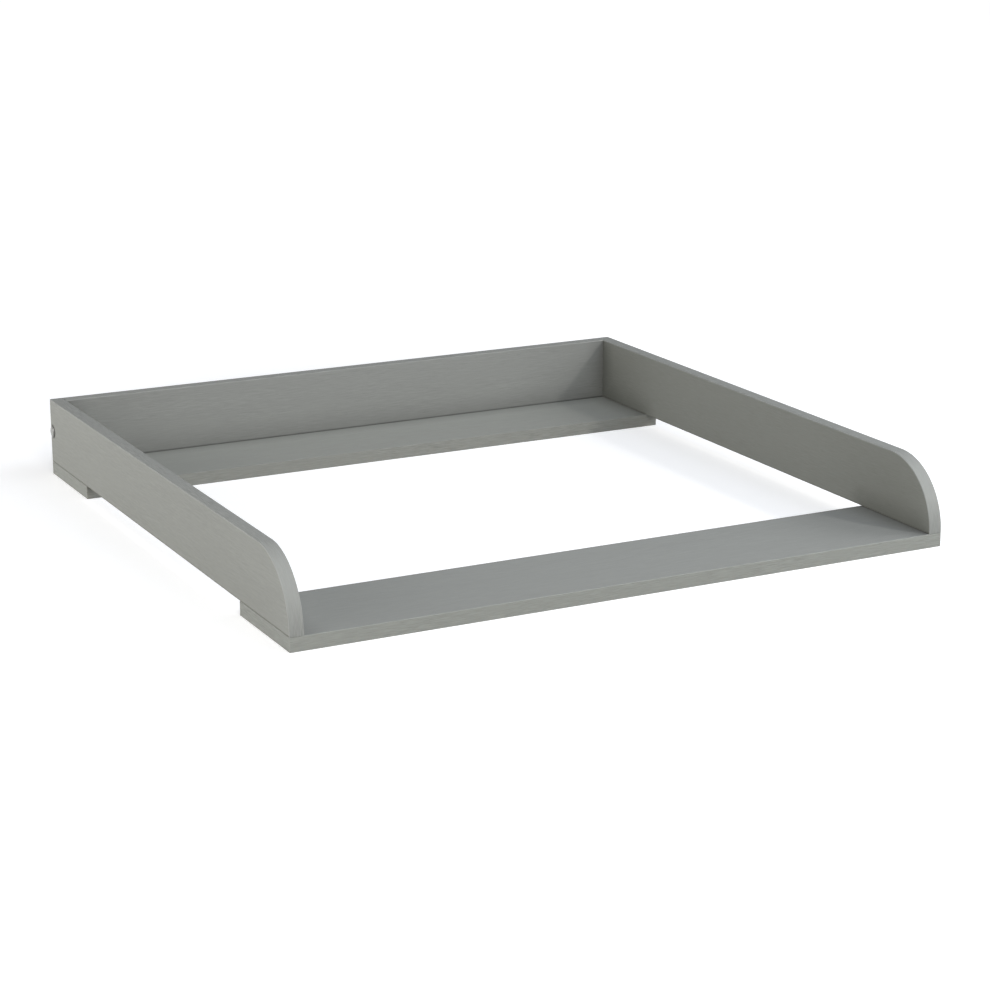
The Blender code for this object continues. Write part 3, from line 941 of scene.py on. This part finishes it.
def cap_finish():
    """Moulded satin plastic with a faint mottle, fine scratches and painted shade towards its rim."""
    material, tree, shader = new_finish("grey_cap_plastic", PLAIN_CAP_ROUGHNESS, shine=CAP_SHINE)
    place = add(tree, "Attribute", attribute_name="own_place").outputs["Vector"]
    mottle = grain(tree, place, MOTTLE_SCALE, detail=3.0)
    scratches = grain(tree, place, SCRATCH_SCALE, detail=1.0)
    colour = blend(tree, vary(tree, mottle), CAP_DARK, CAP_PALE)
    from_axis = length(tree, calc_place(tree, "MULTIPLY", place, (1, 1, 0)))
    # Painted shade: darker towards the rim
    painted_shade = spread(tree, from_axis, CAP_RIM_SHADE_FROM, CAP_RIM_SHADE_FULL, 0.0, CAP_RIM_SHADE_SHARE)
    colour = blend(tree, painted_shade, colour, CAP_RIM_SHADE)
    rough = spread(tree, scratches, *SCRATCH_NOISE, *CAP_ROUGHNESS)
    lay_on(tree, shader, colour, rough, mottle, CAP_RELIEF)
    return material


def beech_finish():
    """Raw beech with its grain along the dowel and short dark flecks."""
    material, tree, shader = new_finish("raw_beech", PLAIN_BEECH_ROUGHNESS)
    place = add(tree, "Attribute", attribute_name="own_place").outputs["Vector"]
    rings = grain(tree, place, RING_SCALE, detail=3.0, distortion=RING_DISTORTION)
    flecks = spread(tree, grain(tree, place, FLECK_SCALE, detail=1.0), *FLECK_NOISE)
    colour = blend(tree, vary(tree, rings), BEECH_DARK, BEECH_PALE)
    colour = blend(tree, calc(tree, "MULTIPLY", flecks, FLECK_SHARE), colour, BEECH_FLECK)
    height = calc(tree, "SUBTRACT", rings, flecks)
    lay_on(tree, shader, colour, vary(tree, rings, *BEECH_ROUGHNESS), height, BEECH_RELIEF)
    return material


# Dressing the frame

def dress_boards():
    """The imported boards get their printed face, its grain along each board."""
    for node, facts in BOARDS.items():
        finish = printed_face(node, **facts)
        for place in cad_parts[node].material_slots:
            place.material = finish


def fit_bands():
    """Edge bands on all boards."""
    plain = edge_band_finish("grey_edge_band")
    bent_grey = edge_band_finish("grey_bent_edge_band", bent=True)
    top_grey = edge_band_finish("grey_top_edge_band")
    rear_grey = edge_band_finish("painted_light_rear_edge_band")
    end_grey = edge_band_finish("grey_end_edge_band")
    # The seam band is painted darker, as shade, and its edges get no scraped paleness
    seam_grey = edge_band_finish("painted_shade_seam_edge_band", scrape_and_highlight_pale=0.0)
    across, back, up = Vector((1, 0, 0)), Vector((0, 1, 0)), Vector((0, 0, 1))
    for side, sign in SIDES.items():
        panel_top_band(side, bent_grey)
        straight_band(f"{side}_panel_rear_band", up, back, plain, butt=True)
        straight_band(f"{side}_panel_bottom_band", back, -up, seam_grey, butt=True)
        for end in ENDS:
            straight_band(f"{end}_board_{side}_band", back, across * sign, end_grey, butt=True)
    straight_band("back_panel_top_band", across, up, top_grey, butt=True)
    for end, finish in (("front", plain), ("rear", rear_grey)):
        for face, sign in ENDS.items():
            straight_band(f"{end}_board_{face}_band", across, back * sign, finish)


def fit_fasteners():
    """A copy of the screw, the dowel or the cap in the place of each fastener."""
    zinc, beech, plastic = zinc_finish(), beech_finish(), cap_finish()
    screw, dowel, cap = screw_model(), dowel_model(), cap_model()
    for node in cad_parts:
        low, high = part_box(node)
        centre = (low + high) / 2
        side = 1 if "right" in node else -1
        inner, outer = (low.x, high.x) if side > 0 else (high.x, low.x)
        sideways = (0, side * QUARTER_TURN, 0)
        if "corner_screw" in node:
            head = (inner + side * SCREW_LENGTH, centre.y, centre.z)
            place_copy(screw, node, zinc, sideways, head)
        elif "screw" in node:
            head = (centre.x, centre.y, low.z)
            place_copy(screw, node, zinc, UPSIDE_DOWN, head)
        elif "dowel" in node:
            turn = sideways if "corner" in node else (0, 0, 0)
            place_copy(dowel, node, beech, turn, centre)
        elif "cap" in node:
            foot = (outer - side * CAP_HEIGHT, centre.y, centre.z)
            place_copy(cap, node, plastic, sideways, foot)
    for model in (screw, dowel, cap):
        bpy.data.objects.remove(model, do_unlink=True)


# Studio

def seen_directly(tree):
    """1 where the camera looks, straight, in a reflection or through a clear piece, and 0 elsewhere."""
    path = add(tree, "LightPath")
    seen = calc(tree, "MAXIMUM", path.outputs["Is Camera Ray"], path.outputs["Is Glossy Ray"])
    return calc(tree, "MAXIMUM", seen, path.outputs["Is Transmission Ray"])


def lay_floor():
    """Pale floor, white to the camera where no shadow falls on it."""
    put_away()
    bpy.ops.mesh.primitive_plane_add(size=FLOOR_SIZE, location=(0, 0, 0))
    floor = bpy.context.object
    floor.name = "floor"
    material = bpy.data.materials.new("pale_floor")
    material.use_nodes = True
    tree = material.node_tree
    tree.nodes.clear()
    pale = add(tree, "BsdfDiffuse", {"Color": FLOOR_GREY})
    from_middle = length(tree, add(tree, "TexCoord").outputs["Object"])
    strength = spread(tree, from_middle, GLOW_START, GLOW_END, FLOOR_GLOW, 1.0)
    glow = add(tree, "Emission", {"Strength": strength})
    shown = add(tree, "MixShader", {0: seen_directly(tree), 2: glow.outputs[0]})
    both = add(tree, "AddShader", {0: pale.outputs[0], 1: shown.outputs[0]})
    add(tree, "OutputMaterial", {0: both.outputs[0]})
    floor.data.materials.append(material)


def paint_world():
    """World that gives no light and is white where it is seen."""
    world = bpy.data.worlds.new("studio")
    bpy.context.scene.world = world
    world.use_nodes = True
    tree = world.node_tree
    tree.nodes.clear()
    white = add(tree, "Background", {"Color": WHITE, "Strength": seen_directly(tree)})
    add(tree, "OutputWorld", {0: white.outputs[0]})


def hang_lamps():
    """Round lamps, which the camera doesn't see."""
    for name, (place, aim, size, power, colour) in LAMPS.items():
        light = bpy.data.lights.new(name, "AREA")
        light.shape = "DISK"
        light.size = size
        light.energy = power
        light.color = colour
        lamp = bpy.data.objects.new(name, light)
        lamp.location = place
        lamp.rotation_euler = (Vector(place) - Vector(aim)).to_track_quat("Z", "Y").to_euler()
        lamp.visible_camera = False
        bpy.context.scene.collection.objects.link(lamp)


def set_camera():
    """Camera at the photograph's angle."""
    camera = bpy.data.cameras.new("camera")
    camera.lens = LENS
    camera.sensor_width = FILM_WIDTH
    camera.clip_end = CAMERA_REACH
    holder = bpy.data.objects.new("camera", camera)
    holder.location = CAMERA_PLACE
    holder.rotation_euler = (math.radians(90 - CAMERA_TILT), 0, math.radians(-CAMERA_TURN))
    bpy.context.scene.collection.objects.link(holder)
    bpy.context.scene.camera = holder


put_away()
dress_boards()
fit_bands()
fit_fasteners()
lay_floor()
paint_world()
hang_lamps()
set_camera()
bpy.context.scene.view_settings.view_transform = "Standard"
